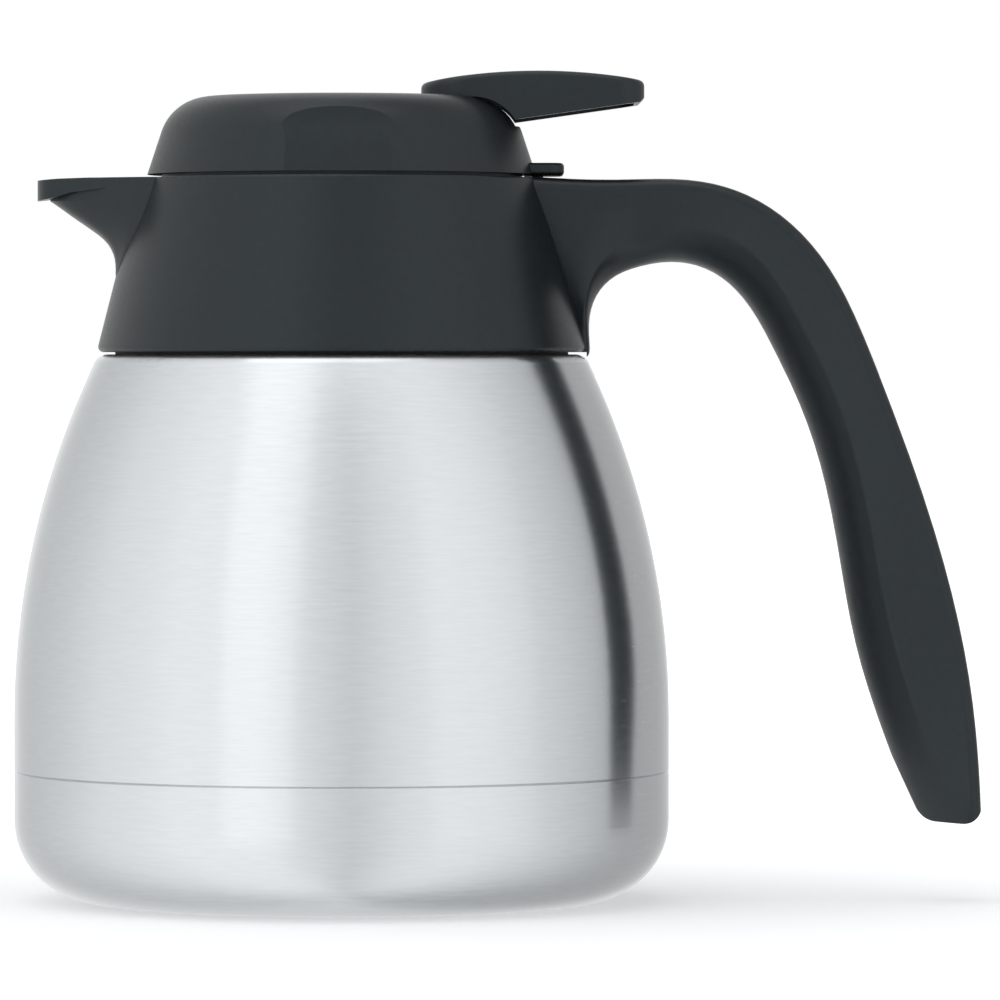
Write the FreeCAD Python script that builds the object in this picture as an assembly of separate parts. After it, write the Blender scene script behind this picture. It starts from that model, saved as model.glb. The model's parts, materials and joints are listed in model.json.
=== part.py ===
"""Push-button vacuum carafe: a double-walled steel vessel, a moulded collar with spout and handle,
and a stopper whose thumb lever lifts a spring-closed pouring valve.

Frame: millimetres, +Z up, origin on the table at the vessel's axis, -X towards the spout,
+X towards the handle. Every sub-part is written to parts/NODE.step.
"""
import FreeCAD
import Part
import math
import os

# Steel vessel, outside surfaces
body_r = 60.0               # widest radius of the steel body
seam_z = 23.8               # joint between the base cup and the outer shell
seam_groove = 0.22          # bevel of both edges at that joint
base_corner_r = 15.0        # rounded lower corner of the base cup
foot_ring_w = 4.0           # width of the flat ring that stands on the table
foot_recess = 2.5           # height of the dished underside
foot_slope = 2.0            # how far the dish's wall leans inwards
bell_start_z = 33.4         # the wall is upright up to here, and then bends inwards
bell_arc_r = 151.0          # radius of that bend
shoulder_z = 100.0          # top of the shoulder, just under the collar
shoulder_round = 2.6        # rounding between bell and shoulder
neck_r = 31.0               # outside of the steel neck
neck_round = 3.0            # rounding between shoulder and neck
neck_h = 17.0               # height of the vessel's lip above the shoulder
steel_t = 0.6               # sheet thickness of all steel walls
joggle_h = 5.0              # height of the base cup's tongue inside the outer shell

# Steel vessel, inner liner
vacuum_gap = 4.6            # evacuated space between the walls
vacuum_gap_bottom = 4.8     # the same under the liner
liner_corner_r = 11.0       # lower corner of the liner
liner_seam_z = 26.0         # weld between the liner and its bottom
liner_shoulder_round = 7.0
liner_neck_round = 6.0
neck_wall = 3.4             # both walls and the space between them at the mouth
dimple_r = 6.0              # evacuation dimple in the underside
dimple_h = 1.6
seal_plug_r = 4.4
getter_r = 4.0
getter_h = 2.0
getter_x = 16.0

# Collar
collar_gap = 0.4            # shadow gap between steel shoulder and collar
collar_bottom_r = 44.9
collar_edge_round = 1.0
rim_r = 36.8                # outer radius of the collar's rim
collar_h = 31.8             # height of the collar up to its rim and the spout's top
rim_round = 0.5
collar_wall = 2.3
rim_wall = 2.4              # wall between the rim's outside and the bore for the stopper's threaded skirt
chamber_floor_t = 2.5
throat_step = 0.5           # the throat is this much wider than the mouth
neck_gasket_t = 0.8
sleeve_clearance = 0.1      # between the steel neck and the collar's sleeve
sleeve_wall = 2.2
sleeve_lift = 0.8           # the sleeve ends this far above the neck's rounding
rib_count = 8
rib_t = 1.6
collar_seal_t = 1.4         # radial width of the ring under the collar
collar_seal_inset = 3.4     # that ring's outside lies this far inside the collar's edge

# Spout
spout_reach = 18.9          # the pouring lip's foremost edge lies this far beyond the rim
spout_half_w = 15.6         # half width where the spout leaves the collar
spout_lip_h = 4.2           # height of the lip's front edge
spout_droop = 0.45          # the rim bends down by this much at the tip
spout_wall = 2.0
lip_root = 6.7              # the flared lip starts this far beyond the rim
lip_root_half_w = 11.0
lip_tip_half_w = 5.2
# Level sections of the spout's body under the lip: depth under the lip, reach beyond the rim, half width at
# the collar, half width at the tip
spout_levels = [(0.0, 16.6, spout_half_w, 4.4), (2.3, 13.3, 15.0, 4.6), (4.6, 10.0, 14.0, 4.8),
                (6.9, 6.9, 12.6, 5.0), (9.2, 5.2, 10.8, 5.0), (11.5, 4.6, 8.4, 4.6), (13.8, 4.5, 5.0, 3.4)]
# The same for the channel in it, with the depth under the rim
trough_levels = [(-0.2, 17.6, 14.4, 3.6), (3.0, 13.6, 13.6, 3.6), (6.2, 9.1, 11.4, 3.6), (9.2, 4.6, 9.6, 3.6)]
trough_foot = (1.4, 8.0, 4.0)   # its lowest section, on the chamber's floor

# Handle
handle_drop = 0.35          # the handle's level part lies this far below the rim
handle_half_w = 12.0        # half width of the handle's back
handle_round = 2.0          # rounding of the back's edges
handle_belly = 6.0          # depth of the rounded palm side
handle_root_half_w = 4.2    # half width of the palm side at the collar and along the grip
handle_palm_half_w = 10.4
handle_section_count = 15
# The handle's side outline: its back and its palm side as smooth curves, through points given by their
# distance beyond the collar's lower edge and below the handle's level part
handle_back = [(-0.4, 0.0), (8.6, 0.0), (17.6, 0.0), (30.9, 3.75), (42.1, 13.45), (52.1, 32.95),
               (62.7, 62.25), (69.7, 91.55), (71.7, 113.55), (71.9, 125.85)]
handle_palm = [(0.5, 25.35), (4.3, 18.25), (15.3, 14.95), (25.4, 18.25), (33.1, 28.65),
               (41.3, 47.05), (45.7, 65.35), (49.3, 84.85), (54.9, 102.55), (64.1, 125.85)]
# The corners that its free end is trimmed to, and their rounding
handle_end = [(49.7, 91.85), (61.4, 117.05), (71.9, 117.55), (72.2, 91.85)]
handle_end_round = 3.6

# Stopper
cap_gap = 0.7               # between rim and cap
cap_step = 1.2              # the cap's lower edge lies this far inside the rim
cap_h = 14.25               # height of the cap
cap_lean = 0.33             # the cap's wall leans in by this much per mm of height
cap_corner_r = 9.4
cap_wall = 2.4
grip_half_w = 9.6           # half width of the two finger grips
grip_h = 11.7               # height of the grips above the cap's lower edge
tab_reach = 3.9             # the finger tab ends this far beyond the rim
tab_half_w = 7.0
tab_t = 2.3
tab_lift = 0.45             # gap between tab and collar
nib_inset = 0.9             # the small nib under the tab stands this far inside the rim's outside
nib_l = 2.0
nib_half_w = 2.0
nib_gap = 0.15              # between nib and collar
skirt_clearance = 1.4       # room for the screw thread between skirt and chamber
skirt_h = 5.0               # the threaded skirt reaches this far below the rim
stopper_wall = 1.9
plug_clearance = 1.0        # between the plug and the mouth
plug_h = 24.2               # the plug's bottom lies this far below the rim
floor_t = 2.0
gasket_rise = 3.4           # from the plug's bottom to the gasket's groove
gasket_h = 4.0
gasket_depth = 2.0
gasket_clearance = 0.1
window_count = 5
window_w = 8.0
window_h = 5.0
window_post = 2.0
deck_t = 2.0
deck_clearance = 0.1
deck_seal_w = 1.5

# Valve
pivot_inset = 8.6           # the lever's pin lies this far inside the cap's lower edge
pivot_drop = 6.95           # and this far below the cap's top
pin_r = 1.0
pin_clearance = 0.05
stem_r = 2.5
stem_clearance = 0.05
valve_hole_r = 9.5
valve_disc_r = 12.6
valve_disc_t = 1.8
valve_seal_t = 1.6
valve_seal_w = 3.2
valve_gap = 0.1             # the seal rests this close to its seat in the model
seat_h = 0.6
collar_r = 5.4              # lifting collar on the stem
collar_t = 1.5
collar_gap_z = 0.2          # between the fork and the lifting collar
fork_tip_r = 1.6
fork_drop = 2.8             # the fork's tips lie this far below the pin
fork_gap = 0.6              # between each prong and the stem
fork_w = 2.6
guide_r = 4.5               # outside of the stem's guide tube
guide_h = 6.0
stem_seal_r = 4.2
stem_seal_h = 1.6
spring_wire = 0.9
spring_r = 5.8
spring_turns = 6

# Lever
lever_nose_inset = 21.0     # the nose lies this far inside the cap's lower edge
lever_reach = 19.7          # the free end reaches this far beyond it
lever_half_w = 12.0
lever_rise = 4.45           # height of the crest above the cap
lever_crest_reach = 0.4     # the crest lies this far beyond the cap's lower edge
lever_top_r = 105.0         # radius of the lever's arched top
lever_heel_inset = 3.8      # where the underside leaves the cap, inside the cap's lower edge
lever_heel_drop = 4.45      # and below the cap's top
lever_end_drop = 1.25       # lower edge of the free end, below the cap's top
lever_end_bevel = 0.9
lever_corner_r = 5.0
lever_edge_round = 1.2
lever_wall = 1.8
pocket_depth = 0.8          # the lever sits in a pocket of the cap of this depth
pocket_h = 5.55             # from the cap's top to the pocket's lowest point
pocket_clearance = 0.4
lever_sink = 0.3            # the lever's edge lies this far below the cap's surface
lever_nose_round = 8.0
slot_half_w = 6.6           # the slot in the cap that the lever's web passes through
slot_clearance = 0.7
slot_front = 2.0            # from the nose to the slot
slot_rear = 1.2             # from the slot to the heel
web_margin = 1.2            # room for the web's movement at both ends of the slot
ear_t = 2.0
hub_r = 3.0
arm_bend_x = 12.0           # the fork's arms rise from here

# Fits and fasteners
fit = 0.05                  # running clearance of parts that move in one another
pin_fit = 0.02              # clearance of parts that are fixed together
cap_fit = 0.1
cap_overlap = 3.0           # height of the skirt's end inside the cap
screw_inset = 8.4           # from the deck's edge in to the screws
screw_r = 1.1
screw_head_r = 2.2
screw_head_h = 1.4
screw_boss_r = 2.8
screw_boss_h = 11.4

# Sizes that follow from the ones above
foot_ring_r = body_r - base_corner_r - foot_ring_w
lip_z = shoulder_z + neck_h                       # top of the vessel's lip
mouth_r = neck_r - neck_wall
throat_r = mouth_r + throat_step
collar_z = shoulder_z + collar_gap
rim_z = collar_z + collar_h
chamber_r = rim_r - rim_wall
spout_tip_x = -rim_r - spout_reach
handle_top_z = rim_z - handle_drop
flange_z = lip_z + neck_gasket_t                  # underside of the collar's inner flange
chamber_z = flange_z + chamber_floor_t            # floor of the pouring chamber
cap_edge_z = rim_z + cap_gap
cap_r = rim_r - cap_step
cap_z = cap_edge_z + cap_h
grip_top_z = cap_edge_z + grip_h
skirt_z = rim_z - skirt_h
skirt_r = chamber_r - skirt_clearance
stopper_z = rim_z - plug_h
gasket_z = stopper_z + gasket_rise
plug_r = mouth_r - plug_clearance
groove_r = plug_r - gasket_depth
deck_top_z = cap_edge_z - 0.5
deck_z = deck_top_z - deck_t
screw_low_z = deck_z - screw_boss_h
deck_r = skirt_r - stopper_wall - deck_clearance
screw_circle_r = deck_r - screw_inset
liner_z = foot_recess + steel_t + vacuum_gap_bottom
pivot_x = cap_r - pivot_inset
pivot_z = cap_z - pivot_drop
fork_tip_z = pivot_z - fork_drop
pin_half_length = slot_half_w + ear_t + 0.6
lever_nose_x = cap_r - lever_nose_inset
lever_end_x = cap_r + lever_reach
lever_crest_x = cap_r + lever_crest_reach
lever_heel_x = cap_r - lever_heel_inset
lever_top_z = cap_z + lever_rise
lever_heel_z = cap_z - lever_heel_drop
lever_end_z = cap_z - lever_end_drop
pocket_low_z = cap_z - pocket_h
slot_front_x = lever_nose_x + slot_front
slot_rear_x = lever_heel_x - slot_rear
web_half_w = slot_half_w - slot_clearance
web_front_x = slot_front_x + web_margin
web_rear_x = slot_rear_x - web_margin
disc_z = stopper_z + floor_t + seat_h + valve_gap + valve_seal_t      # underside of the valve's disc
valve_low_z = disc_z - valve_seal_t - 1.4                             # lowest point of the valve
stem_collar_z = fork_tip_z + fork_tip_r + collar_gap_z                # underside of the lifting collar


def vec(x, z, y=0.0):
    return FreeCAD.Vector(x, y, z)


def line(a, b):
    return Part.makeLine(a, b)


def arc(a, via, b):
    return Part.Arc(a, via, b).toShape()


def arc_about(centre, a, b):
    """The shorter arc from a to b round centre, in the XZ plane."""
    u = (a - centre) + (b - centre)
    u.normalize()
    return arc(a, centre + u * (a - centre).Length, b)


def revolve(edges):
    """A solid of revolution about Z from a closed outline in the XZ plane."""
    face = Part.Face(Part.Wire(edges))
    return face.revolve(FreeCAD.Vector(0, 0, 0), FreeCAD.Vector(0, 0, 1), 360)


def polygon(points):
    closed = list(points) + [points[0]]
    return [line(a, b) for a, b in zip(closed, closed[1:])]


def turned(points):
    """A solid of revolution from (radius, height) corners."""
    solid = revolve(polygon([vec(r, z) for r, z in points]))
    return solid


def ring(inner, outer, low, high):
    tube = Part.makeCylinder(outer, high - low, vec(0, low))
    return tube.cut(Part.makeCylinder(inner, high - low, vec(0, low)))


def block(x0, x1, y0, y1, z0, z1):
    return Part.makeBox(x1 - x0, y1 - y0, z1 - z0, FreeCAD.Vector(x0, y0, z0))


def edges_at(shape, radius, height, slack=0.05):
    """The circular edges of that radius at that height."""
    found = []
    for edge in shape.Edges:
        curve = edge.Curve
        if isinstance(curve, Part.Circle) and abs(curve.Radius - radius) < slack:
            if abs(curve.Center.z - height) < slack:
                found.append(edge)
    return found


def fuse(first, *others):
    whole = first.fuse(list(others))
    return whole.removeSplitter()


def clean(shape):
    """The solids of a shape, as one solid or a compound."""
    solids = shape.Solids
    return solids[0] if len(solids) == 1 else Part.makeCompound(solids)


def bell_path(inset, shoulder_fillet, neck, neck_fillet, low, high):
    """Edges up the bell's wall, over its shoulder and up its neck, parallel to the outside."""
    wall = body_r - inset
    centre = vec(body_r - bell_arc_r, bell_start_z)
    radius = bell_arc_r - inset
    top = shoulder_z - inset
    reach = radius - shoulder_fillet
    fillet_z = top - shoulder_fillet
    fillet = vec(centre.x + math.sqrt(reach ** 2 - (fillet_z - centre.z) ** 2), fillet_z)
    out = (fillet - centre).normalize()
    leaves = centre + out * radius
    meets = vec(fillet.x, top)
    turn = vec(neck + neck_fillet, top + neck_fillet)
    start = vec(wall, bell_start_z)
    return [
        line(vec(wall, low), start),
        arc_about(centre, start, leaves),
        arc_about(fillet, leaves, meets),
        line(meets, vec(turn.x, top)),
        arc_about(turn, vec(turn.x, top), vec(neck, turn.z)),
        line(vec(neck, turn.z), vec(neck, high)),
    ]


def sheet(outer, inner):
    """A turned sheet between two paths that run the same way."""
    ends = [line(outer[0].Vertexes[0].Point, inner[0].Vertexes[0].Point),
            line(outer[-1].Vertexes[-1].Point, inner[-1].Vertexes[-1].Point)]
    return revolve(Part.__sortEdges__(list(outer) + list(inner) + ends))


def outer_shell():
    top = lip_z - steel_t
    outside = bell_path(0.0, shoulder_round, neck_r, neck_round, seam_z, top)
    inside = bell_path(steel_t, shoulder_round - steel_t, neck_r - steel_t, neck_round + steel_t,
                       seam_z, top)
    shell = sheet(outside, inside)
    return shell.makeChamfer(seam_groove, edges_at(shell, body_r, seam_z))


def liner():
    """The inner vessel: bell, neck and the rolled lip that closes the vacuum space."""
    gap = steel_t + vacuum_gap
    outside = bell_path(gap, liner_shoulder_round, mouth_r + steel_t, liner_neck_round,
                        liner_seam_z, lip_z - steel_t)
    inside = bell_path(gap + steel_t, liner_shoulder_round - steel_t, mouth_r, liner_neck_round + steel_t,
                       liner_seam_z, lip_z - steel_t)
    wall = sheet(outside, inside)
    lip = ring(mouth_r, neck_r, lip_z - steel_t, lip_z)
    whole = fuse(wall, lip)
    return whole.makeFillet(steel_t * 0.9, edges_at(whole, mouth_r, lip_z))


def liner_bottom():
    """The liner's dished bottom, butt-welded to its wall."""
    wall = body_r - steel_t - vacuum_gap

    def cup(radius, low, corner):
        solid = Part.makeCylinder(radius, liner_seam_z - low, vec(0, low))
        return solid.makeFillet(corner, edges_at(solid, radius, low))

    hollow = cup(wall - steel_t, liner_z + steel_t, liner_corner_r - steel_t)
    return cup(wall, liner_z, liner_corner_r).cut(hollow)


def base_cup():
    """The outer bottom: rounded corner, foot ring, dished underside and evacuation dimple."""
    def form(inset, top):
        corner = base_corner_r - inset
        wall = body_r - inset
        dish = foot_recess + inset
        foot = foot_ring_r + inset / 2
        return revolve([
            line(vec(0, top), vec(wall, top)),
            line(vec(wall, top), vec(wall, base_corner_r)),
            arc_about(vec(wall - corner, base_corner_r), vec(wall, base_corner_r), vec(wall - corner, inset)),
            line(vec(wall - corner, inset), vec(foot, inset)),
            line(vec(foot, inset), vec(foot - foot_slope, dish)),
            line(vec(foot - foot_slope, dish), vec(dimple_r + inset, dish)),
            line(vec(dimple_r + inset, dish), vec(dimple_r + inset, dish + dimple_h)),
            line(vec(dimple_r + inset, dish + dimple_h), vec(0, dish + dimple_h)),
            line(vec(0, dish + dimple_h), vec(0, top)),
        ])

    shell = form(0.0, seam_z).cut(form(steel_t, seam_z))
    tongue = ring(body_r - 2 * steel_t, body_r - steel_t, seam_z - joggle_h, seam_z + joggle_h)
    cup = fuse(shell, tongue)
    return cup.makeChamfer(seam_groove, edges_at(cup, body_r, seam_z))


def vacuum_seal_plug():
    """The bead that closes the evacuation hole, in its dimple."""
    top = foot_recess + dimple_h
    bead = Part.makeCylinder(seal_plug_r, dimple_h - 0.3, vec(0, top - dimple_h + 0.3))
    return bead.makeFillet(0.4, edges_at(bead, seal_plug_r, top - dimple_h + 0.3))


def getter():
    return Part.makeCylinder(getter_r, getter_h, vec(getter_x, liner_z - getter_h))


def cone_radius(z):
    """Outer radius of the collar at a height."""
    share = (z - collar_z) / (rim_z - collar_z)
    return collar_bottom_r + (rim_r - collar_bottom_r) * share


def collar_form():
    solid = turned([(0, collar_z), (collar_bottom_r, collar_z), (rim_r, rim_z), (0, rim_z)])
    solid = solid.makeFillet(collar_edge_round, edges_at(solid, collar_bottom_r, collar_z))
    return solid.makeFillet(rim_round, edges_at(solid, rim_r, rim_z))


def beak(z, tip_x, half_w, tip_half_w, root_x, back_x):
    """A level section of the spout: a quadratic curve round the tip, closed by a chord in the collar."""
    mid = FreeCAD.Vector((root_x + tip_x) / 2, (half_w + tip_half_w) / 2, z)
    half = [FreeCAD.Vector(back_x, half_w, z), FreeCAD.Vector(root_x, half_w, z), mid,
            FreeCAD.Vector(tip_x, tip_half_w, z)]
    poles = half + [FreeCAD.Vector(p.x, -p.y, p.z) for p in reversed(half)]
    curve = Part.BSplineCurve()
    inner = list(range(1, len(poles) - 2))
    mults = [3] + [1] * len(inner) + [3]
    curve.buildFromPolesMultsKnots(poles, mults, [0] + inner + [len(poles) - 2], False, 2)
    return Part.Wire([curve.toShape(), Part.makeLine(poles[-1], poles[0])])


def spout_section(z, reach, half_w, tip_half_w):
    """A level section of the spout's body, rooted in the cone."""
    root = -math.sqrt(cone_radius(z) ** 2 - half_w ** 2)
    return beak(z, -rim_r - reach, half_w, tip_half_w, root, root + collar_wall)


def spout_form():
    """The spout's body grows out of the cone, leans forward and stands upright up to the rim."""
    low = rim_z - spout_lip_h
    wires = [spout_section(low - depth, *rest) for depth, *rest in spout_levels]
    body = Part.makeLoft(wires, True)
    upright = Part.Face(wires[0]).extrude(vec(0, spout_lip_h))
    droop = plate([vec(spout_tip_x, rim_z - spout_droop), vec(spout_tip_x + 4, rim_z - 0.35 * spout_droop),
                   vec(spout_tip_x + 10, rim_z), vec(spout_tip_x + 10, rim_z + 2),
                   vec(spout_tip_x - 2, rim_z + 2), vec(spout_tip_x - 2, rim_z - 1.4 * spout_droop)],
                  -rim_r, rim_r)
    return fuse(body, upright, spout_lip()).cut(droop)


def spout_lip():
    """The pouring lip, flared beyond the body: it tapers into the spout's sides and its underside rises."""
    low = rim_z - spout_lip_h
    root_x = -rim_r - lip_root
    outline = beak(low, spout_tip_x, lip_root_half_w, lip_tip_half_w, root_x, root_x + 3)
    lip = Part.Face(outline).extrude(vec(0, spout_lip_h))
    keep = plate([vec(spout_tip_x - 1, low - 0.1), vec(spout_tip_x + 3.0, low + 0.5),
                  vec(spout_tip_x + 6.4, low + 1.5), vec(root_x + 3, low + 2.6),
                  vec(root_x + 3, rim_z + 1), vec(spout_tip_x - 1, rim_z + 1)],
                 -rim_r, rim_r)
    lip = lip.common(keep)
    front = [e for e in lip.Edges if e.BoundBox.ZMin > rim_z - 0.01 and e.BoundBox.XMin < spout_tip_x + 1.5]
    return lip.makeFillet(0.4, front)


def spout_trough():
    """The channel in the spout, from the chamber's floor up to the lip."""
    wires = []
    for depth, reach, half, tip_half in trough_levels + [(rim_z - chamber_z, *trough_foot)]:
        z = rim_z - depth
        root = -math.sqrt(cone_radius(z) ** 2 - half ** 2) + spout_wall
        wires.append(beak(z, -rim_r - reach, half, tip_half, root, -chamber_r * 0.6))
    return Part.makeLoft(wires, True)


def handle_section(back, palm, half_w, palm_half_w, belly):
    """One section of the handle: a flat back, tapering sides and a rounded palm side."""
    across = FreeCAD.Vector(0, 1, 0)
    inward = palm - back
    depth = inward.Length
    inward.normalize()

    def at(y, t):
        return back + across * y + inward * t

    r = handle_round
    k = r * (1 - math.sqrt(0.5))
    side = at(palm_half_w, depth - belly) - at(half_w, r)
    side.normalize()

    def palm_curve(sign):
        start = at(sign * palm_half_w, depth - belly)
        lean = FreeCAD.Vector(side.x, sign * side.y, side.z)
        bend = at(sign * palm_half_w * 0.80, depth - belly * 0.55)
        curve = Part.BezierCurve()
        curve.setPoles([start, start + lean * belly * 0.08, bend, at(sign * palm_half_w * 0.42, depth),
                        at(0, depth)])
        return curve.toShape()

    return Part.Wire(Part.__sortEdges__([
        line(at(-half_w + r, 0), at(half_w - r, 0)),
        arc(at(half_w - r, 0), at(half_w - k, k), at(half_w, r)),
        line(at(half_w, r), at(palm_half_w, depth - belly)),
        palm_curve(1),
        palm_curve(-1),
        line(at(-palm_half_w, depth - belly), at(-half_w, r)),
        arc(at(-half_w, r), at(-half_w + k, k), at(-half_w + r, 0)),
    ]))


def handle_points(offsets):
    """Points given beyond the collar's lower edge and below the handle's level part."""
    return [vec(collar_bottom_r + reach, handle_top_z - depth) for reach, depth in offsets]


def smooth_curve(points):
    curve = Part.BSplineCurve()
    curve.interpolate(points)
    return curve


def handle_stations():
    """Back, palm point, palm half width and belly depth of each section, from collar to free end."""
    edge = collar_bottom_r + 0.5
    rows = [(vec(rim_r - 6.0, rim_z), vec(edge - 6.0, collar_z), handle_root_half_w, handle_belly),
            (vec(rim_r + 0.2, rim_z), vec(edge, collar_z), handle_root_half_w, handle_belly)]
    back = smooth_curve(handle_points(handle_back))
    palm = smooth_curve(handle_points(handle_palm))
    count = handle_section_count
    for k in range(count + 1):
        share = k / count
        ease = min(1.0, share / 0.25)
        ease = ease * ease * (3 - 2 * ease)
        half = handle_root_half_w + 2.0 + (handle_palm_half_w - handle_root_half_w - 2.0) * ease
        rows.append((point_at(back, share), point_at(palm, share), half, handle_belly + 1.0 * ease))
    return rows


def point_at(curve, share):
    """The point that share of the way along a curve."""
    length = curve.length()
    return curve.value(curve.parameterAtDistance(length * share, curve.FirstParameter))


def handle_form():
    wires = []
    for back, palm, palm_half_w, belly in handle_stations():
        wires.append(handle_section(back, palm, handle_half_w, palm_half_w, belly))
    solid = Part.makeLoft(wires, True)
    return solid.common(handle_end_trim())


def handle_end_trim():
    """All that lies above the handle's free end, with the end's two corners rounded."""
    reach = 3 * body_r
    end = handle_points(handle_end)
    corners = [vec(-reach, end[0].z)] + end + [vec(reach, end[-1].z), vec(reach, reach), vec(-reach, reach)]
    solid = plate(corners, -reach, reach)
    lowest = end[2].z + 1
    across = [e for e in solid.Edges if e.BoundBox.YLength > 1 and e.BoundBox.ZMax < lowest]
    return solid.makeFillet(handle_end_round, across)


def collar_with_handle():
    """One moulding: cone, spout and handle outside; chamber, throat, neck sleeve and ribs inside."""
    outside = collar_form().fuse([spout_form(), handle_form()])
    below = Part.makeCylinder(collar_bottom_r, collar_z, vec(0, 0))
    outside = outside.cut(below)
    inner_low = cone_radius(collar_z) - collar_wall
    inner_high = cone_radius(flange_z) - collar_wall
    hollow = turned([(0, collar_z - 1), (inner_low, collar_z - 1), (inner_low, collar_z),
                     (inner_high, flange_z), (0, flange_z)])
    chamber = Part.makeCylinder(chamber_r, rim_z - chamber_z + 1, vec(0, chamber_z))
    throat = Part.makeCylinder(throat_r, chamber_floor_t + 2, vec(0, flange_z - 1))
    body = outside.cut([hollow, chamber, throat, spout_trough()])
    sleeve_in = neck_r + sleeve_clearance
    sleeve_low = shoulder_z + neck_round + sleeve_lift
    sleeve = ring(sleeve_in, sleeve_in + sleeve_wall, sleeve_low, flange_z + 0.5)
    rib_in = sleeve_in + sleeve_wall - 0.3
    rib_profile = turned([(rib_in, sleeve_low + 2), (inner_low - 1.0, sleeve_low + 2),
                          (inner_high + 0.4, flange_z + 0.5), (rib_in, flange_z + 0.5)])
    ribs = []
    for k in range(rib_count):
        slab = block(0, body_r, -rib_t / 2, rib_t / 2, collar_z, rim_z)
        slab.rotate(vec(0, 0), vec(0, 1), 360.0 * (k + 0.5) / rib_count)
        ribs.append(rib_profile.common(slab))
    return fuse(body, sleeve, *ribs)


def neck_gasket():
    return ring(throat_r + 0.3, neck_r - 0.2, lip_z, flange_z)


def collar_seal():
    """Elastomer ring between the steel shoulder and the collar's skirt."""
    outer = collar_bottom_r - collar_seal_inset
    return ring(outer - collar_seal_t, outer, shoulder_z, collar_z + 1.0)


def cap_form(inset, low):
    """The cap's outside, moved inwards by inset, down to a height: a leaning wall and a big rounding."""
    top = cap_z - inset
    steep = math.hypot(1, cap_lean)
    foot = cap_r - inset * steep
    solid = turned([(0, low), (foot - cap_lean * (low - cap_edge_z), low),
                    (foot - cap_lean * (top - cap_edge_z), top), (0, top)])
    edge = edges_at(solid, foot - cap_lean * (top - cap_edge_z), top)
    return solid.makeFillet(cap_corner_r - inset, edge)


def cap_radius(z):
    """Radius of the cap's outside at a height, by the same wall and rounding."""
    steep = math.hypot(1, cap_lean)
    centre_z = cap_z - cap_corner_r
    centre_r = cap_r - cap_lean * (centre_z - cap_edge_z) - cap_corner_r * steep
    if z < centre_z + cap_corner_r * cap_lean / steep:
        return cap_r - cap_lean * (z - cap_edge_z)
    return centre_r + math.sqrt(cap_corner_r ** 2 - (z - centre_z) ** 2)


def cap_ridge(inset, low):
    """The cap's outline in the plane of symmetry, moved inwards, extruded across the whole cap."""
    outline = cap_form(inset, low).slice(FreeCAD.Vector(0, 1, 0), 0)[0]
    solid = Part.Face(outline).extrude(FreeCAD.Vector(0, 2 * cap_r, 0))
    solid.translate(FreeCAD.Vector(0, -cap_r, 0))
    return solid


def grips():
    """Two finger grips: flat across, they follow the cap's wall upwards and fade out at its rounding."""
    levels = [cap_edge_z - 2] + [cap_edge_z + grip_h * share for share in (0.25, 0.55, 0.8)]
    points = []
    for z in levels:
        points.append(FreeCAD.Vector(0, math.sqrt(cap_radius(z) ** 2 - grip_half_w ** 2), z))
    points.append(FreeCAD.Vector(0, cap_radius(grip_top_z) + 0.02, grip_top_z))
    curve = Part.BSplineCurve()
    curve.interpolate(points)
    high = FreeCAD.Vector(0, 2 * cap_r, grip_top_z)
    low = FreeCAD.Vector(0, 2 * cap_r, levels[0])
    outline = Part.Wire([curve.toShape(), line(points[-1], high), line(high, low), line(low, points[0])])
    solid = Part.Face(outline).extrude(FreeCAD.Vector(4 * grip_half_w, 0, 0))
    solid.translate(FreeCAD.Vector(-2 * grip_half_w, 0, 0))
    return [solid, solid.mirror(vec(0, 0), FreeCAD.Vector(0, 1, 0))]


def lever_plan(grow, low, high):
    """The lever's outline seen from above, with its rounded nose and rear corners."""
    half_w = lever_half_w + grow
    plan = block(lever_nose_x - grow, lever_end_x + grow, -half_w, half_w, low, high)
    rear = [e for e in plan.Edges if e.BoundBox.ZLength > 1 and e.BoundBox.XMin > lever_crest_x]
    plan = plan.makeFillet(lever_corner_r + grow, rear)
    nose = [e for e in plan.Edges if e.BoundBox.ZLength > 1 and e.BoundBox.XMax < lever_nose_x - grow + 0.1]
    return plan.makeFillet(lever_nose_round + grow, nose)


def plate(points, low, high):
    """A plate with that side outline, from y=low to y=high."""
    face = Part.Face(Part.Wire(polygon(points)))
    solid = face.extrude(FreeCAD.Vector(0, high - low, 0))
    solid.translate(FreeCAD.Vector(0, low, 0))
    return solid


def rod(radius, x, z, low, high):
    """A round bar along Y."""
    return Part.makeCylinder(radius, high - low, FreeCAD.Vector(x, low, z), FreeCAD.Vector(0, 1, 0))


def stopper_cap():
    shell = cap_form(0.0, cap_edge_z).cut(grips())
    inside = cap_form(cap_wall, cap_edge_z - 1)
    bore = Part.makeCylinder(skirt_r + cap_fit, cap_overlap, vec(0, cap_edge_z))
    ears = []
    for side in (-1, 1):
        low = min(side * slot_half_w, side * (slot_half_w + ear_t))
        ear = plate([vec(pivot_x - 5, cap_z), vec(pivot_x - 3, pivot_z - 3), vec(pivot_x + 3, pivot_z - 3),
                     vec(pivot_x + 6, cap_z)], low, low + ear_t)
        ears.append(ear.common(cap_form(cap_wall / 2, cap_edge_z)))
    whole = fuse(shell.cut([inside, bore]), cap_tab(), *ears)
    slot = block(slot_front_x, slot_rear_x, -slot_half_w, slot_half_w, pivot_z - 4, cap_z + 2)
    pocket = lever_plan(pocket_clearance, pocket_low_z, cap_z + 2)
    pocket = pocket.cut(cap_ridge(pocket_depth, cap_edge_z - 1))
    pin = rod(pin_r + pin_fit, pivot_x, pivot_z, -pin_half_length - 0.1, pin_half_length + 0.1)
    return whole.cut([slot, pocket, pin])


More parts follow.
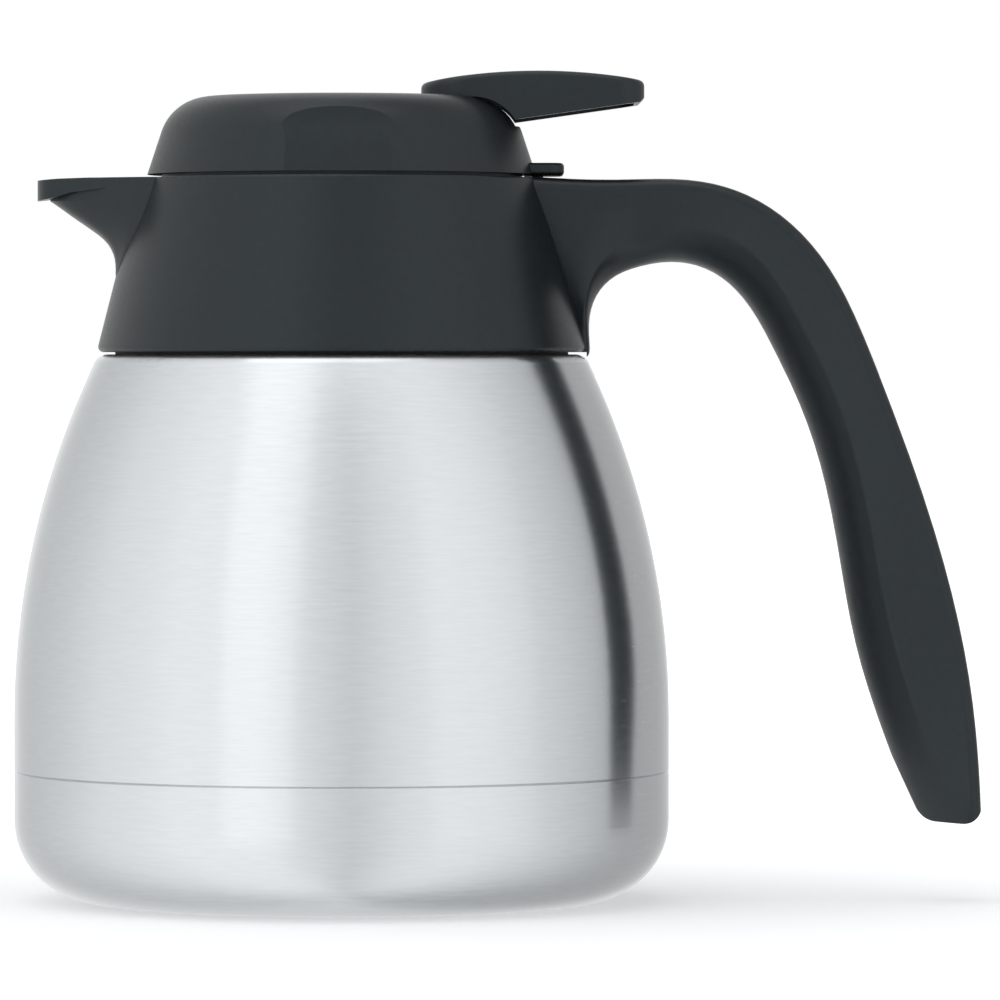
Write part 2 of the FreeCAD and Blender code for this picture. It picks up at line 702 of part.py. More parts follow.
def cap_tab():
    """Finger tab at the back, with a small nib that rides on the collar's rim."""
    low = rim_z + tab_lift
    tab = block(cap_r - 3, rim_r + tab_reach, -tab_half_w, tab_half_w, low, low + tab_t)
    tab = tab.makeFillet(2.5, [e for e in tab.Edges if e.BoundBox.ZLength > 1 and e.BoundBox.XMin > cap_r])
    rim = [e for e in tab.Edges if e.BoundBox.XMax > cap_r and e.BoundBox.ZLength < 0.1]
    tab = tab.makeFillet(0.7, rim)
    nib_x = rim_r - nib_inset
    nib = block(nib_x - nib_l / 2, nib_x + nib_l / 2, -nib_half_w, nib_half_w, rim_z + nib_gap, low + 0.5)
    whole = tab.fuse(nib)
    return whole.cut(Part.makeCylinder(cap_r - 1.5, cap_h, vec(0, rim_z)))


def skirt_shell(low, high):
    return ring(skirt_r - stopper_wall, skirt_r, low, high)


def window_cutters():
    cutters = []
    pitch = math.degrees((window_w + window_post) / plug_r)
    for k in range(window_count):
        low = chamber_z + 0.4
        cutter = block(-plug_r - 3, -plug_r + stopper_wall + 2, -window_w / 2, window_w / 2,
                       low, low + window_h)
        corners = [e for e in cutter.Edges if e.BoundBox.XLength > 1]
        cutter = cutter.makeFillet(1.5, corners)
        cutter.rotate(vec(0, 0), vec(0, 1), pitch * (k - (window_count - 1) / 2))
        cutters.append(cutter)
    return cutters


def screw_places():
    return [(screw_circle_r * math.cos(math.radians(a)), screw_circle_r * math.sin(math.radians(a)))
            for a in (0, 100, 260)]


def stopper_body():
    """Plug with the valve seat in its floor, pouring windows, and the threaded skirt's core above."""
    tub = Part.makeCylinder(plug_r, skirt_z - stopper_z, vec(0, stopper_z))
    tub = tub.makeFillet(1.5, edges_at(tub, plug_r, stopper_z))
    tub = tub.cut(Part.makeCylinder(plug_r - stopper_wall, plug_h, vec(0, stopper_z + floor_t)))
    tub = tub.cut(Part.makeCylinder(valve_hole_r, 10, vec(0, stopper_z - 1)))
    seat = ring(valve_hole_r, valve_hole_r + 1.6, stopper_z + floor_t, stopper_z + floor_t + seat_h)
    thick = ring(groove_r - stopper_wall, plug_r - 0.5, stopper_z + 0.6, gasket_z + gasket_h + 1.5)
    groove = ring(groove_r, plug_r + 1, gasket_z, gasket_z + gasket_h)
    flange = ring(plug_r - stopper_wall, skirt_r, skirt_z, skirt_z + stopper_wall)
    skirt = skirt_shell(skirt_z, cap_edge_z + cap_overlap - 0.2)
    bosses = []
    for x, y in screw_places():
        bosses.append(Part.makeCylinder(screw_boss_r, deck_z - screw_low_z, vec(x, screw_low_z, y)))
    body = fuse(tub, seat, thick, flange, skirt, *bosses)
    holes = []
    for x, y in screw_places():
        holes.append(Part.makeCylinder(screw_r + pin_fit, 2 * screw_boss_h, vec(x, screw_low_z + 1.5, y)))
    rim = Part.makeCylinder(skirt_r - stopper_wall, cap_h, vec(0, deck_z))
    return body.cut([groove, rim] + window_cutters() + holes)


def stopper_gasket():
    """Lipped elastomer ring in the plug's groove."""
    inner = groove_r + fit
    outer = mouth_r - gasket_clearance
    low = gasket_z + fit
    high = gasket_z + gasket_h - fit
    mid = (low + high) / 2
    return turned([(inner, low), (outer - 1.0, low), (outer, low + 0.7), (outer, low + 1.3),
                   (outer - 1.0, mid), (outer, high - 1.3), (outer, high - 0.7), (outer - 1.0, high),
                   (inner, high)])


def guide_deck():
    """Plate that closes the pouring chamber, with the stem's guide and seal pocket."""
    disc = Part.makeCylinder(deck_r, deck_t, vec(0, deck_z))
    tube = Part.makeCylinder(guide_r, guide_h, vec(0, deck_z - guide_h))
    plate_ = fuse(disc, tube)
    bore = Part.makeCylinder(stem_r + stem_clearance, guide_h + deck_t + 2, vec(0, deck_z - guide_h - 1))
    pocket = Part.makeCylinder(stem_seal_r + fit, 5, vec(0, deck_top_z - stem_seal_h))
    holes = [Part.makeCylinder(screw_r + 0.2, 20, vec(x, deck_z - 5, y)) for x, y in screw_places()]
    return plate_.cut([bore, pocket] + holes)


def deck_seal():
    low = skirt_z + stopper_wall
    outer = deck_r - 0.2
    return ring(outer - deck_seal_w, outer, low, deck_z)


def stem_seal():
    return ring(stem_r + stem_clearance, stem_seal_r, deck_top_z - stem_seal_h, deck_top_z)


def deck_screw(k):
    """Pan head screw that holds the deck on its boss."""
    x, y = screw_places()[k]
    shank = Part.makeCylinder(screw_r, deck_top_z - screw_low_z - 2.5, vec(x, screw_low_z + 2.5, y))
    head = Part.makeCylinder(screw_head_r, screw_head_h, vec(x, deck_top_z, y))
    head = head.makeFillet(0.5, edges_at(head, screw_head_r, deck_top_z + screw_head_h))
    recess = Part.makeCylinder(0.9, 1.0, vec(x, deck_top_z + screw_head_h - 0.8, y))
    return fuse(shank, head).cut(recess)


def valve_stem():
    """Steel stem with the lifting collar the lever's fork pushes up."""
    shaft = Part.makeCylinder(stem_r, stem_collar_z + collar_t - disc_z, vec(0, disc_z))
    collar = Part.makeCylinder(collar_r, collar_t, vec(0, stem_collar_z))
    collar = collar.makeFillet(0.4, edges_at(collar, collar_r, stem_collar_z + collar_t))
    foot = Part.makeCylinder(stem_r - 0.8, disc_z - valve_low_z, vec(0, valve_low_z))
    return fuse(shaft, collar, foot)


def valve_disc():
    """Disc that carries the valve's seal, with a spring seat on top and a lip under it."""
    disc = Part.makeCylinder(valve_disc_r, valve_disc_t, vec(0, disc_z))
    disc = disc.makeFillet(0.5, edges_at(disc, valve_disc_r, disc_z + valve_disc_t))
    hub = Part.makeCylinder(valve_disc_r - valve_seal_w - fit, disc_z - valve_low_z, vec(0, valve_low_z))
    hub = hub.makeFillet(0.5, edges_at(hub, valve_disc_r - valve_seal_w - fit, valve_low_z))
    seat = ring(stem_r + fit, spring_r - spring_wire, disc_z + valve_disc_t, disc_z + valve_disc_t + 1.2)
    bore = Part.makeCylinder(stem_r + fit, 20, vec(0, disc_z))
    foot = Part.makeCylinder(stem_r - 0.8 + fit, 20, vec(0, valve_low_z - 5))
    return fuse(disc, hub, seat).cut([bore, foot])


def valve_seal():
    return ring(valve_disc_r - valve_seal_w, valve_disc_r - 0.4, disc_z - valve_seal_t, disc_z)


def valve_spring():
    """Compression spring between the valve's disc and the deck."""
    low = disc_z + valve_disc_t + spring_wire / 2 + 0.05
    high = deck_z - spring_wire / 2 - 0.05
    steps = 10 * spring_turns
    coil = []
    for k in range(steps + 1):
        turn = 2 * math.pi * k / 10
        height = low + (high - low) * k / steps
        coil.append(FreeCAD.Vector(spring_r * math.cos(turn), spring_r * math.sin(turn), height))
    path = Part.BSplineCurve()
    path.interpolate(coil)
    section = Part.makeCircle(spring_wire / 2, coil[0], path.tangent(path.FirstParameter)[0])
    return Part.Wire(path.toShape()).makePipeShell([Part.Wire(section)], True, False)


def lever():
    """Thumb pad over the cap, web through the cap's slot, and a fork under the stem's collar."""
    crest = vec(lever_crest_x, lever_top_z)

    def top(x):
        return crest.z - (x - crest.x) ** 2 / (2 * lever_top_r)

    low = lever_heel_z - lever_wall
    nose = vec(lever_nose_x, low)
    side = Part.Face(Part.Wire([
        line(nose, vec(lever_nose_x, top(lever_nose_x))),
        arc(vec(lever_nose_x, top(lever_nose_x)), crest, vec(lever_end_x, top(lever_end_x))),
        line(vec(lever_end_x, top(lever_end_x)), vec(lever_end_x, lever_end_z + lever_end_bevel)),
        line(vec(lever_end_x, lever_end_z + lever_end_bevel),
             vec(lever_end_x - lever_end_bevel, lever_end_z)),
        line(vec(lever_end_x - lever_end_bevel, lever_end_z), vec(lever_heel_x, lever_heel_z)),
        line(vec(lever_heel_x, lever_heel_z), vec(lever_heel_x, low)),
        line(vec(lever_heel_x, low), nose),
    ]))
    pad = side.extrude(FreeCAD.Vector(0, 2 * lever_half_w, 0))
    pad.translate(FreeCAD.Vector(0, -lever_half_w, 0))
    pad = pad.common(lever_plan(0.0, low, lever_top_z))
    rim = [e for e in pad.Edges if e.BoundBox.ZMin > cap_z]
    pad = pad.makeFillet(lever_edge_round, [e for e in rim if abs(e.BoundBox.ZMax - e.BoundBox.ZMin) < 4
                                            and e.CenterOfMass.z > top(e.CenterOfMass.x) - 1.0])
    hollow = side.extrude(FreeCAD.Vector(0, 2 * (lever_half_w - lever_wall), 0))
    hollow.translate(FreeCAD.Vector(0, -(lever_half_w - lever_wall), -lever_wall))
    hollow = hollow.common(lever_plan(-lever_wall, low - lever_wall, lever_top_z))
    web = block(web_front_x, web_rear_x, -web_half_w, web_half_w, pivot_z - hub_r + 1, top(web_front_x) - 0.6)
    shell = pad.cut([hollow, cap_ridge(lever_sink, cap_edge_z - 5)])
    hub = rod(hub_r, pivot_x, pivot_z, -web_half_w, web_half_w)
    prongs = [prong(side_) for side_ in (-1, 1)]
    bore = rod(pin_r + pin_clearance, pivot_x, pivot_z, -cap_r, cap_r)
    return fuse(shell, web, hub, *prongs).cut(bore)


def prong(side):
    """One arm of the fork, from the hub to the rounded tip beside the stem."""
    low = stem_r + fork_gap
    low, high = (low, low + fork_w) if side > 0 else (-low - fork_w, -low)
    tip = rod(fork_tip_r, 0, fork_tip_z, low, high)
    bar = plate([vec(0, fork_tip_z - fork_tip_r), vec(pivot_x, pivot_z - hub_r), vec(pivot_x, pivot_z + 1),
                 vec(arm_bend_x, fork_tip_z + fork_tip_r), vec(0, fork_tip_z + fork_tip_r)], low, high)
    return fuse(tip, bar)


def lever_pin():
    return rod(pin_r, pivot_x, pivot_z, -pin_half_length, pin_half_length)


def write_parts():
    makers = dict(outer_shell=outer_shell, inner_vessel=liner, inner_bottom=liner_bottom, base_cup=base_cup,
                  vacuum_seal_plug=vacuum_seal_plug, getter=getter, collar_handle=collar_with_handle,
                  neck_gasket=neck_gasket, collar_seal=collar_seal, stopper_gasket=stopper_gasket,
                  stopper_body=stopper_body, stopper_cap=stopper_cap, guide_deck=guide_deck,
                  deck_seal=deck_seal, stem_seal=stem_seal, valve_stem=valve_stem, valve_disc=valve_disc,
                  valve_seal=valve_seal, valve_spring=valve_spring, lever=lever, lever_pin=lever_pin)
    for k in range(len(screw_places())):
        makers["deck_screw_%d" % (k + 1)] = lambda k=k: deck_screw(k)
    os.makedirs("parts", exist_ok=True)
    for name, make in makers.items():
        clean(make()).exportStep("parts/%s.step" % name)


write_parts()
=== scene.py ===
"""Looks for the push-button vacuum carafe: materials, small detail, studio and camera."""
import json
import math

import bmesh
import bpy
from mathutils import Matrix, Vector


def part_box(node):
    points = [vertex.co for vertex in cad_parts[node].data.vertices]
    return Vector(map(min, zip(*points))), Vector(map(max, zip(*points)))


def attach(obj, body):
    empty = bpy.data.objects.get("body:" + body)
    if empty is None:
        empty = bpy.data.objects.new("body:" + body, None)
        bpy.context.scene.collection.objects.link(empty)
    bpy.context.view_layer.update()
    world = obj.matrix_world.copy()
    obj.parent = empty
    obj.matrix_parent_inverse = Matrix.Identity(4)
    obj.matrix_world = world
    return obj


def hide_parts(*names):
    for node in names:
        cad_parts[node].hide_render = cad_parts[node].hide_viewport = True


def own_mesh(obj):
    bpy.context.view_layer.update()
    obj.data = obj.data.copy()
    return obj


MM = 0.001

# The camera stands level with the collar, a long way off, and looks along +Y, a little down
IMAGE_WIDTH = 1000          # pixels
FOCAL_LENGTH = 7800         # pixels
HORIZON_RISE = 150          # the horizon lies this many pixels above the picture's centre
SENSOR_WIDTH = 36.0         # millimetres, as Blender's lens is
CAMERA_AT = (0.0290, -1.430, 0.1008)

# Radiance of the white surroundings by azimuth in degrees, from the camera's side, as gloss shows them
SURROUND = ((-180, 1.0), (-172, 1.0), (-152, 0.76), (-138, 0.79), (-113, 0.96), (-93, 1.15), (-75, 1.23),
            (-60, 1.34), (-28, 1.34), (-13, 1.14), (5, 0.92), (22, 1.14), (38, 1.25), (56, 1.20), (75, 1.03),
            (88, 0.91), (110, 0.70), (130, 0.57), (150, 0.55), (166, 0.64), (174, 1.0), (180, 1.0))

# Diffuse light of the surroundings: its strength, and its colour on the spout's and on the handle's side
AMBIENT = 0.78
AMBIENT_SPOUT_SIDE = (1.18, 1.20, 1.22)
AMBIENT_HANDLE_SIDE = (0.60, 0.62, 0.64)

# Soft boxes: azimuth, elevation, distance, width, height, radiance. They face a point on the body's axis.
SOFT_BOXES = {
    "key": (-28, 20, 1.8, 0.86, 2.4, 0.17),
    "fill": (52, 12, 2.2, 1.6, 2.0, 0.06),
    "top": (-25, 80, 2.0, 1.6, 1.6, 0.7),
}
LIT_POINT = Vector((0, 0, 0.08))

# The floor is a plain square just under the part. It glows, more so away from the axis, to meet the backdrop;
# the weaker glow near the axis is a painted shadow round the base.
FLOOR_HALF = 30.0
FLOOR_LOW = -0.3 * MM
FLOOR_PALE = ((0.86, 0.86, 0.86), (0.88, 0.88, 0.88))
GLOW_FROM, GLOW_TO = 0.06, 0.30         # metres from the axis
PAINTED_SHADOW_GLOW, GLOW_FAR = 0.26, 0.55        # radiance at these distances

# Screw threads: radius of the wall, height of the crest, width, lowest point, rise, first angle, angle swept
THREAD_STARTS = 3
STOPPER_THREAD = (33.0 * MM, 0.62 * MM, 1.3 * MM, 128.3 * MM, 2.6 * MM, 10, 88)
CHAMBER_THREAD = (34.4 * MM, -0.60 * MM, 1.3 * MM, 125.6 * MM, 2.6 * MM, 40, 70)
THREAD_RUN_OUT = 0.1        # share of its length over which a crest grows out of the wall, at each end
THREAD_ROOT = 0.05 * MM     # its foot lies this deep in the wall
THREAD_PROFILE = (-0.5, -0.46, -0.24, 0.24, 0.46, 0.5)      # foot, wall, crest and back, in widths

# Weld between the liner and its bottom: radius of the wall, height, half width, level
LINER_WELD = (54.2 * MM, 0.12 * MM, 0.9 * MM, 26.0 * MM)
WELD_RIPPLES = 180
WELD_RIPPLE = 0.22          # share of the bead's height

# Valve spring
SPRING_WIRE = 0.9 * MM
SPRING_TURNS = 7
SPRING_CLOSED_TURNS = 1     # at each end
CLOSED_PITCH = 1.08         # rise of a closed turn, in wire thicknesses

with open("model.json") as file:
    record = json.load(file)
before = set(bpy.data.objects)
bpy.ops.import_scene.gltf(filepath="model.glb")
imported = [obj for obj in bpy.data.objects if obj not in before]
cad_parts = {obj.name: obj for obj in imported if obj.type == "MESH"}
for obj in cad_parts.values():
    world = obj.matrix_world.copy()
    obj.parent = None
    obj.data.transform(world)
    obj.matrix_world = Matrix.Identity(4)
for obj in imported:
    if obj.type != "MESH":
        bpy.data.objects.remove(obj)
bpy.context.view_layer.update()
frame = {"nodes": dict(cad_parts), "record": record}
nodes = frame["nodes"]


class Nodes:
    """Short calls for building the node tree of one material or world."""

    def __init__(self, name, owner=None):
        self.material = owner or bpy.data.materials.new(name)
        self.material.use_nodes = True
        self.tree = self.material.node_tree
        self.shader = self.tree.nodes.get("Principled BSDF")

    def add(self, kind, **settings):
        node = self.tree.nodes.new(kind)
        for key, value in settings.items():
            setattr(node, key, value)
        return node

    def link(self, source, target):
        self.tree.links.new(source, target)

    def place(self):
        """Object coordinates, in metres in the row frame."""
        return self.add("ShaderNodeTexCoord").outputs["Object"]

    def scaled(self, source, scale):
        node = self.add("ShaderNodeVectorMath", operation="MULTIPLY")
        self.link(source, node.inputs[0])
        node.inputs[1].default_value = scale
        return node.outputs["Vector"]

    def noise(self, source, scale=1.0, detail=2.0, rough=0.5):
        node = self.add("ShaderNodeTexNoise")
        self.link(source, node.inputs["Vector"])
        node.inputs["Scale"].default_value = scale
        node.inputs["Detail"].default_value = detail
        node.inputs["Roughness"].default_value = rough
        return node.outputs["Fac"]

    def math(self, operation, *values):
        node = self.add("ShaderNodeMath", operation=operation)
        for socket, value in zip(node.inputs, values):
            if isinstance(value, (int, float)):
                socket.default_value = value
            else:
                self.link(value, socket)
        return node.outputs[0]

    def spread(self, source, low, high, start=0.25, end=0.75):
        """Maps a factor onto a range."""
        node = self.add("ShaderNodeMapRange")
        self.link(source, node.inputs["Value"])
        node.inputs["From Min"].default_value = start
        node.inputs["From Max"].default_value = end
        node.inputs["To Min"].default_value = low
        node.inputs["To Max"].default_value = high
        return node.outputs["Result"]

    def mixed(self, factor, first, second):
        node = self.add("ShaderNodeMix", data_type="RGBA")
        self.link(factor, node.inputs[0])
        node.inputs[6].default_value = (*first, 1)
        node.inputs[7].default_value = (*second, 1)
        return node.outputs[2]

    def seen(self):
        """One for rays from the camera, and for what gloss and clear material show."""
        path = self.add("ShaderNodeLightPath")
        direct = self.math("MAXIMUM", path.outputs["Is Camera Ray"], path.outputs["Is Glossy Ray"])
        return self.math("MAXIMUM", direct, path.outputs["Is Transmission Ray"])

    def bump(self, height, distance, under=None):
        node = self.add("ShaderNodeBump")
        self.link(height, node.inputs["Height"])
        node.inputs["Distance"].default_value = distance
        if under is not None:
            self.link(under, node.inputs["Normal"])
        self.link(node.outputs["Normal"], self.shader.inputs["Normal"])
        return node.outputs["Normal"]

    def set(self, **values):
        for key, value in values.items():
            self.shader.inputs[key.replace("_", " ")].default_value = value


def brushed_steel(name, tint, rough, depth):
    """Steel brushed round the body's axis: short faint streaks, from a hair to half a millimetre wide."""
    m = Nodes(name)
    place = m.place()
    hair = m.noise(m.scaled(place, (150, 150, 5200)), detail=3, rough=0.55)
    streak = m.noise(m.scaled(place, (210, 210, 1900)), detail=4, rough=0.65)
    cloud = m.noise(place, scale=16, detail=3)
    both = m.math("MULTIPLY_ADD", streak, 0.6, m.math("MULTIPLY", hair, 0.4))
    m.link(m.mixed(m.spread(both, 0, 1, 0.36, 0.64), [c * 0.95 for c in tint], [c * 1.01 for c in tint]),
           m.shader.inputs["Base Color"])
    m.link(m.math("ADD", m.spread(both, rough - 0.03, rough + 0.03), m.spread(cloud, -0.012, 0.012)),
           m.shader.inputs["Roughness"])
    m.bump(hair, depth * MM, under=m.bump(streak, 1.6 * depth * MM))
    m.set(Metallic=1.0, Anisotropic=0.9, Anisotropic_Rotation=0.25)
    tangent = m.add("ShaderNodeTangent", direction_type="RADIAL", axis="Z")
    m.link(tangent.outputs["Tangent"], m.shader.inputs["Tangent"])
    return m.material


def moulded_plastic(name, colour, rough, grain, parting=0.0):
    """Satin moulded plastic: fine spark-eroded grain, mottling, flow marks, and a parting line at y=0."""
    m = Nodes(name)
    place = m.place()
    speck = m.noise(place, scale=2400, detail=2)
    flow = m.noise(m.scaled(place, (26, 26, 13)), detail=3)
    mottle = m.noise(place, scale=650, detail=3)
    shade = m.math("MULTIPLY_ADD", mottle, 0.6, m.math("MULTIPLY", flow, 0.4))
    m.link(m.mixed(m.spread(shade, 0, 1, 0.36, 0.64), [c * 0.86 for c in colour], [c * 1.15 for c in colour]),
           m.shader.inputs["Base Color"])
    m.link(m.math("ADD", m.spread(speck, rough - 0.05, rough + 0.05), m.spread(flow, -0.015, 0.015)),
           m.shader.inputs["Roughness"])
    under = None
    if parting:
        apart = m.add("ShaderNodeSeparateXYZ")
        m.link(place, apart.inputs[0])
        line = m.spread(m.math("ABSOLUTE", apart.outputs["Y"]), 1, 0, 0.04 * MM, 0.16 * MM)
        under = m.bump(line, parting * MM)
    m.bump(speck, grain * MM, under=under)
    m.set(Specular_IOR_Level=0.36, Specular_Tint=(0.86, 0.96, 1.0, 1))
    return m.material


def soft_rubber(name, colour, rough):
    """Silicone or rubber: matt, a little cloudy, with fine dust in the pores."""
    m = Nodes(name)
    place = m.place()
    cloud = m.noise(place, scale=160, detail=4)
    pores = m.noise(place, scale=3200, detail=1)
    m.link(m.mixed(m.spread(cloud, 0, 1), [c * 0.85 for c in colour], colour), m.shader.inputs["Base Color"])
    m.link(m.spread(pores, rough - 0.06, rough + 0.08), m.shader.inputs["Roughness"])
    m.bump(pores, 0.01 * MM)
    m.set(Sheen_Weight=0.15)
    return m.material


def turned_metal(name, tint, rough, pitch):
    """Bright metal with the fine rings that turning or drawing leaves."""
    m = Nodes(name)
    place = m.place()
    rings = m.noise(m.scaled(place, (70, 70, pitch)), detail=2)
    stain = m.noise(place, scale=90, detail=3)
    m.link(m.mixed(m.spread(stain, 0, 1), [c * 0.92 for c in tint], tint), m.shader.inputs["Base Color"])
    m.link(m.spread(rings, rough * 0.85, rough * 1.15), m.shader.inputs["Roughness"])
    m.bump(rings, 0.002 * MM)
    m.set(Metallic=1.0)
    return m.material


def finishes():
    steel = (0.605, 0.628, 0.645)
    charcoal = (0.0072, 0.0098, 0.0112)
    return {
        "brushed_steel": brushed_steel("brushed steel", steel, 0.25, 0.0022),
        "liner_steel": turned_metal("liner steel", (0.70, 0.70, 0.70), 0.2, 1500),
        "seal_metal": turned_metal("seal bead", (0.55, 0.55, 0.56), 0.45, 900),
        "getter_metal": turned_metal("getter", (0.22, 0.22, 0.23), 0.5, 600),
        "collar_plastic": moulded_plastic("collar plastic", charcoal, 0.34, 0.006, parting=0.03),
        "cap_plastic": moulded_plastic("cap plastic", charcoal, 0.36, 0.008),
        "stopper_plastic": moulded_plastic("stopper plastic", (0.0095, 0.0115, 0.0125), 0.36, 0.006),
        "silicone": soft_rubber("silicone", (0.50, 0.51, 0.51), 0.5),
        "seal_rubber": soft_rubber("black rubber", (0.012, 0.012, 0.012), 0.6),
        "stem_steel": turned_metal("stem steel", (0.64, 0.63, 0.61), 0.2, 2600),
        "spring_steel": turned_metal("spring steel", (0.60, 0.59, 0.57), 0.24, 2000),
        "screw_steel": turned_metal("screw steel", (0.62, 0.62, 0.62), 0.28, 1800),
    }


def dress(materials):
    slots = {row["node"]: row["material_slot"] for row in frame["record"]["subparts"]}
    for name, node in nodes.items():
        node.data.materials.clear()
        node.data.materials.append(materials[slots[name]])


def piece(name, loops, slot, body, closed=False):
    """Joins rings of points into one smooth skin that rides on a body. An open row of rings gets end caps."""
    mesh = bpy.data.meshes.new(name)
    shape = bmesh.new()
    rows = [[shape.verts.new(point) for point in loop] for loop in loops]
    pairs = list(zip(rows, rows[1:])) + ([(rows[-1], rows[0])] if closed else [])
    for first, second in pairs:
        for k in range(len(first)):
            n = (k + 1) % len(first)
            shape.faces.new((first[k], first[n], second[n], second[k]))
    if not closed:
        shape.faces.new(rows[0][::-1])
        shape.faces.new(rows[-1])
    bmesh.ops.recalc_face_normals(shape, faces=shape.faces)
    shape.to_mesh(mesh)
    shape.free()
    mesh.polygons.foreach_set("use_smooth", [True] * len(mesh.polygons))
    item = bpy.data.objects.new(name, mesh)
    bpy.context.scene.collection.objects.link(item)
    item.data.materials.append(materials[slot])
    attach(item, body)
    return item


def thread(name, radius, height, width, low, rise, start, sweep, slot, body):
    """One start of a screw thread round Z, which grows out of the wall and runs out into it again."""
    steps = 120
    loops = []
    for k in range(steps + 1):
        share = k / steps
        angle = math.radians(start + sweep * share)
        outward = Vector((math.cos(angle), math.sin(angle), 0))
        near_end = min(1.0, share / THREAD_RUN_OUT, (1 - share) / THREAD_RUN_OUT)
        grown = max(0.02, math.sin(math.pi / 2 * near_end))
        crest = radius + height * grown
        root = radius - math.copysign(THREAD_ROOT, height)
        middle = low + rise * share
        ring = []
        for r, z in zip((root, radius, crest, crest, radius, root), THREAD_PROFILE):
            ring.append(outward * r + Vector((0, 0, middle + z * width)))
        loops.append(ring)
    return piece(name, loops, slot, body)


def weld_bead(name, radius, height, half_width, middle, slot, body):
    """A rippled weld bead on the inside of a wall."""
    steps = 720
    loops = []
    for k in range(steps):
        angle = 2 * math.pi * k / steps
        outward = Vector((math.cos(angle), math.sin(angle), 0))
        ripple = 1 + WELD_RIPPLE * math.sin(angle * WELD_RIPPLES)
        ring = []
        for j in range(7):
            turn = math.pi * j / 6
            ring.append(outward * (radius + 0.03 * MM - height * ripple * math.sin(turn))
                        + Vector((0, 0, middle - half_width * math.cos(turn))))
        ring.append(outward * (radius + 0.2 * MM) + Vector((0, 0, middle)))
        loops.append(ring)
    return piece(name, loops, slot, body, closed=True)


def coil_spring(name, node, slot, body):
    """Compression spring in a CAD node's place: its end turns lie closed."""
    low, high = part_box(node)
    radius = (high.x - low.x - SPRING_WIRE) / 2
    height = high.z - low.z
    closed_pitch = CLOSED_PITCH * SPRING_WIRE
    open_turns = SPRING_TURNS - 2 * SPRING_CLOSED_TURNS
    open_pitch = (height - SPRING_WIRE - 2 * closed_pitch * SPRING_CLOSED_TURNS) / open_turns
    steps, sides = 32 * SPRING_TURNS, 12
    loops = []
    for k in range(steps + 1):
        turn = SPRING_TURNS * k / steps
        opened = min(max(turn - SPRING_CLOSED_TURNS, 0), open_turns)
        rise = closed_pitch * (turn - opened) + open_pitch * opened
        angle = 2 * math.pi * turn
        outward = Vector((math.cos(angle), math.sin(angle), 0))
        middle = outward * radius + Vector((0, 0, low.z + SPRING_WIRE / 2 + rise))
        ring = []
        for j in range(sides):
            around = 2 * math.pi * j / sides
            spoke = outward * math.cos(around) + Vector((0, 0, math.sin(around)))
            ring.append(middle + SPRING_WIRE / 2 * spoke)
        loops.append(ring)
    item = piece(name, loops, slot, body)
    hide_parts(node)
    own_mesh(item)
    return item


def details():
    """Screw threads of stopper and chamber, the liner's weld, and the valve's spring."""
    for k in range(THREAD_STARTS):
        turned = 360 / THREAD_STARTS * k
        for label, sizes, slot, body in (("stopper_thread", STOPPER_THREAD, "stopper_plastic", "stopper"),
                                         ("chamber_thread", CHAMBER_THREAD, "collar_plastic", "carafe")):
            *shape, first, sweep = sizes
            thread("%s_%d" % (label, k + 1), *shape, turned + first, sweep, slot, body)
    weld_bead("liner_weld", *LINER_WELD, "liner_steel", "carafe")
    coil_spring("coil_spring", "valve_spring", "spring_steel", "stopper")


def soft_box(name, azimuth, elevation, distance, width, height, radiance):
    lamp = bpy.data.lights.new(name, "AREA")
    lamp.shape = "RECTANGLE"
    lamp.size = width
    lamp.size_y = height
    lamp.energy = radiance * math.pi * width * height
    holder = bpy.data.objects.new(name, lamp)
    turn = math.radians(azimuth)
    rise = math.radians(elevation)
    away = Vector((math.sin(turn) * math.cos(rise), -math.cos(turn) * math.cos(rise), math.sin(rise)))
    holder.location = away * distance + LIT_POINT
    holder.rotation_euler = away.to_track_quat("Z", "Y").to_euler()
    bpy.context.scene.collection.objects.link(holder)


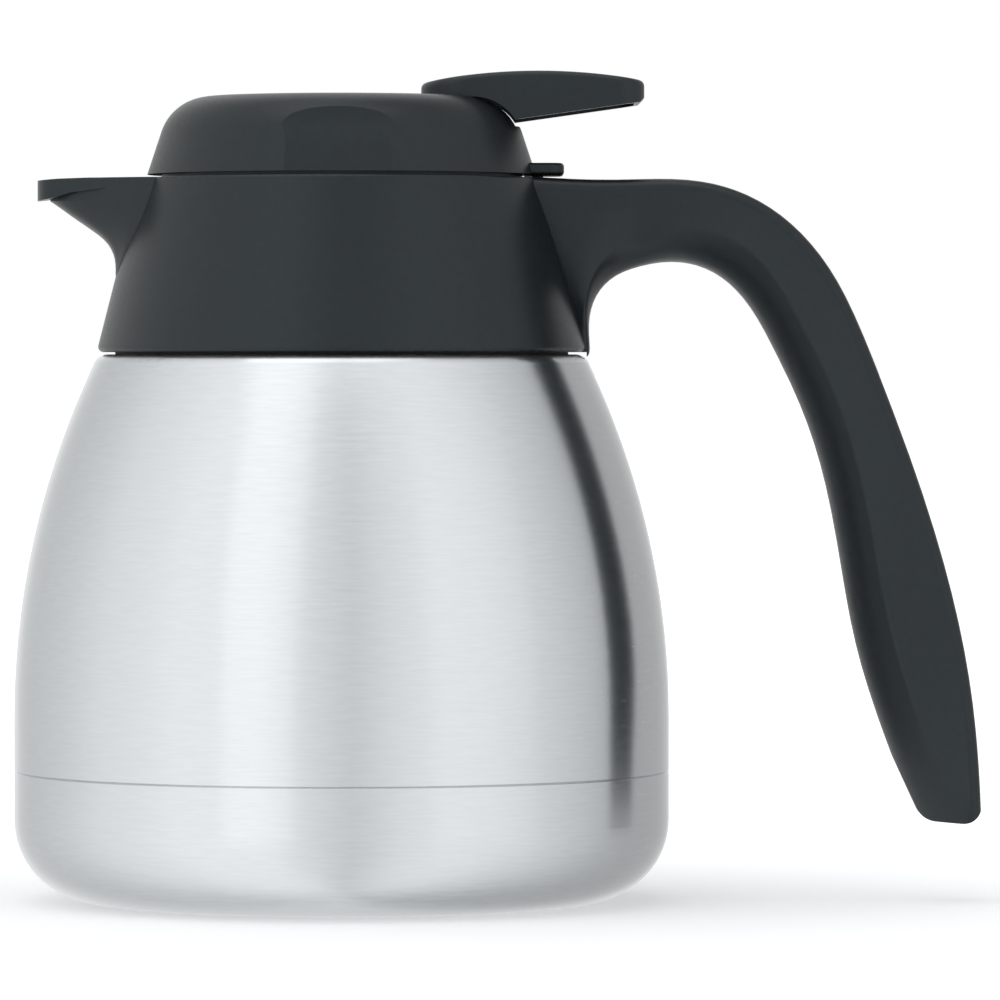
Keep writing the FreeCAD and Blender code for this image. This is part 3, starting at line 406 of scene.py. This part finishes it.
def studio():
    """White surroundings, soft boxes and a pale floor."""
    world = bpy.data.worlds.new("studio")
    world.use_nodes = True
    w = Nodes(None, world)
    light = w.tree.nodes["Background"]
    light.inputs["Strength"].default_value = AMBIENT
    backdrop = w.add("ShaderNodeBackground")
    backdrop.inputs["Strength"].default_value = 1.0
    toward = w.add("ShaderNodeSeparateXYZ")
    w.link(w.add("ShaderNodeTexCoord").outputs["Generated"], toward.inputs[0])
    across = w.spread(toward.outputs["X"], 0, 1, -0.9, 0.9)
    w.link(w.mixed(across, AMBIENT_SPOUT_SIDE, AMBIENT_HANDLE_SIDE), light.inputs["Color"])
    azimuth = w.math("ARCTAN2", toward.outputs["X"], w.math("MULTIPLY", toward.outputs["Y"], -1))
    ramp = w.add("ShaderNodeValToRGB")
    w.link(w.spread(azimuth, 0, 1, -math.pi, math.pi), ramp.inputs["Fac"])
    stops = ramp.color_ramp.elements
    for k, (degrees, level) in enumerate(SURROUND):
        place = (degrees + 180) / 360
        if 0 < k < len(SURROUND) - 1:
            stops.new(place)
        stops[k].position = place
        stops[k].color = (level, level, level, 1)
    w.link(ramp.outputs["Color"], backdrop.inputs["Color"])
    mix = w.add("ShaderNodeMixShader")
    w.link(w.seen(), mix.inputs["Fac"])
    w.link(light.outputs[0], mix.inputs[1])
    w.link(backdrop.outputs[0], mix.inputs[2])
    w.link(mix.outputs[0], w.tree.nodes["World Output"].inputs["Surface"])
    bpy.context.scene.world = world
    for name, settings in SOFT_BOXES.items():
        soft_box(name, *settings)
    floor()


def floor():
    """Square floor, which gloss and clear material don't see. Its glow is weaker near the axis, a painted
    shadow round the base.
    """
    mesh = bpy.data.meshes.new("floor")
    corners = [(FLOOR_HALF * x, FLOOR_HALF * y, FLOOR_LOW) for x, y in ((-1, -1), (1, -1), (1, 1), (-1, 1))]
    mesh.from_pydata(corners, [], [(0, 1, 2, 3)])
    item = bpy.data.objects.new("floor", mesh)
    bpy.context.scene.collection.objects.link(item)
    m = Nodes("pale floor")
    grain = m.noise(m.place(), scale=40, detail=2)
    m.link(m.mixed(m.spread(grain, 0, 1), *FLOOR_PALE), m.shader.inputs["Base Color"])
    away = m.add("ShaderNodeVectorMath", operation="LENGTH")
    m.link(m.place(), away.inputs[0])
    # Glow rises with distance from the axis; the dip near the axis paints the shadow round the base
    glow = m.spread(away.outputs["Value"], PAINTED_SHADOW_GLOW, GLOW_FAR, GLOW_FROM, GLOW_TO)
    m.link(glow, m.shader.inputs["Emission Strength"])
    m.set(Roughness=0.9, Emission_Color=(1, 1, 1, 1), Specular_IOR_Level=0.1)
    path = m.add("ShaderNodeLightPath")
    mirrored = m.math("MAXIMUM", path.outputs["Is Glossy Ray"], path.outputs["Is Transmission Ray"])
    mix = m.add("ShaderNodeMixShader")
    m.link(mirrored, mix.inputs["Fac"])
    m.link(m.shader.outputs[0], mix.inputs[1])
    m.link(m.add("ShaderNodeBsdfTransparent").outputs[0], mix.inputs[2])
    m.link(mix.outputs[0], m.tree.nodes["Material Output"].inputs["Surface"])
    mesh.materials.append(m.material)


def camera():
    data = bpy.data.cameras.new("camera")
    data.sensor_width = SENSOR_WIDTH
    data.lens = SENSOR_WIDTH * FOCAL_LENGTH / IMAGE_WIDTH
    data.clip_end = 100
    holder = bpy.data.objects.new("camera", data)
    holder.location = CAMERA_AT
    holder.rotation_euler = (math.pi / 2 - math.atan(HORIZON_RISE / FOCAL_LENGTH), 0, 0)
    bpy.context.scene.collection.objects.link(holder)
    bpy.context.scene.camera = holder


materials = finishes()
dress(materials)
details()
studio()
camera()
bpy.context.scene.view_settings.view_transform = "Standard"
